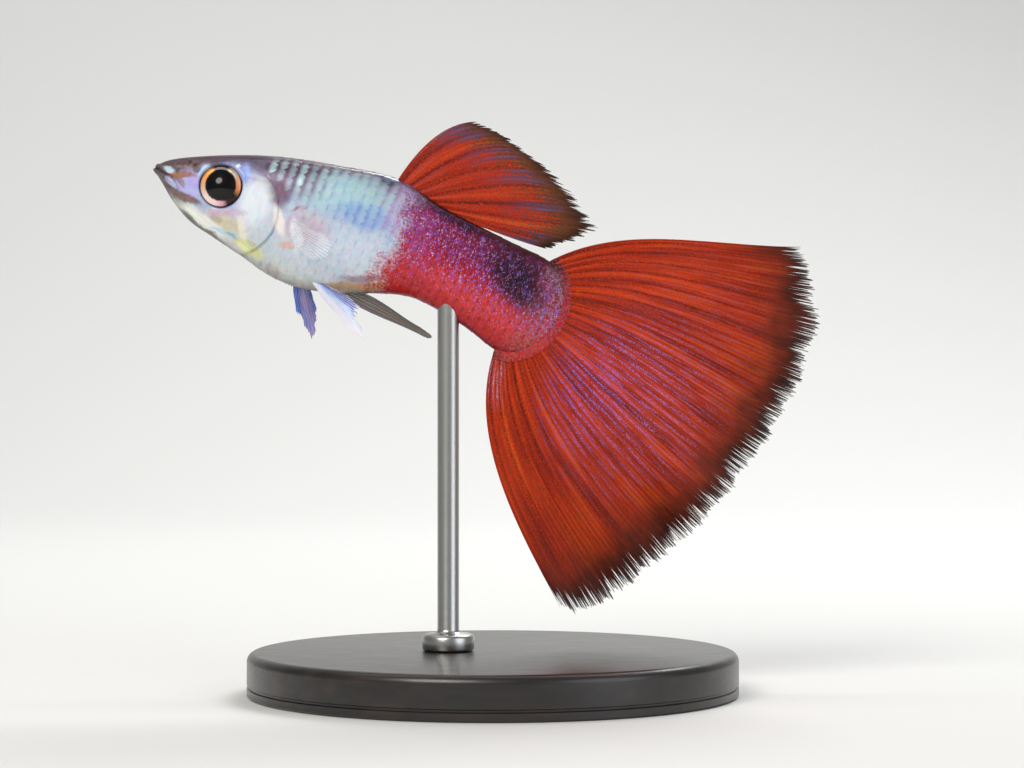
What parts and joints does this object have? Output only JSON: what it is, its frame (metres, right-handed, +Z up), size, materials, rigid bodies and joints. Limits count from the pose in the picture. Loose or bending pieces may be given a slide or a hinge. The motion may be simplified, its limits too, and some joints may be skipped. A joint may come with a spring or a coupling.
{
  "type": "fish model",
  "caption": "Life-size still model of a small swimming fish, nose tipped up, with a wide fan of a tail, a swept back fin and slim belly fins, on a rod over a round base.",
  "frame": {"origin": "on the floor, below the middle of the fish, at the centre of the stand's round base", "axes": "+Z up, the fish swims towards -X, its left side faces -Y"},
  "size_m": [0.0471, 0.034, 0.0398],
  "materials": {
    "silver_skin": "wet, pearly skin under fine scales",
    "red_skin": "wet red skin under fine scales",
    "red_fin": "thin red membrane over rays",
    "pale_fin": "thin pale blue membrane over rays",
    "clear_fin": "thin clear membrane over rays",
    "eye": "polished glass eye",
    "dark_wood": "satin black-stained wood",
    "steel": "brushed steel rod"
  },
  "bodies": {
    "root": {"head": "silver_skin", "trunk": "silver_skin", "tail_stem": "red_skin", "eye_left": "eye", "eye_right": "eye", "dorsal_fin": "red_fin", "tail_fin": "red_fin", "anal_fin": "clear_fin", "pectoral_fin_left": "clear_fin", "pectoral_fin_right": "clear_fin", "pelvic_fin_left": "pale_fin", "pelvic_fin_right": "pale_fin", "stand_base": "dark_wood", "stand_rod": "steel"}
  },
  "joints": []
}
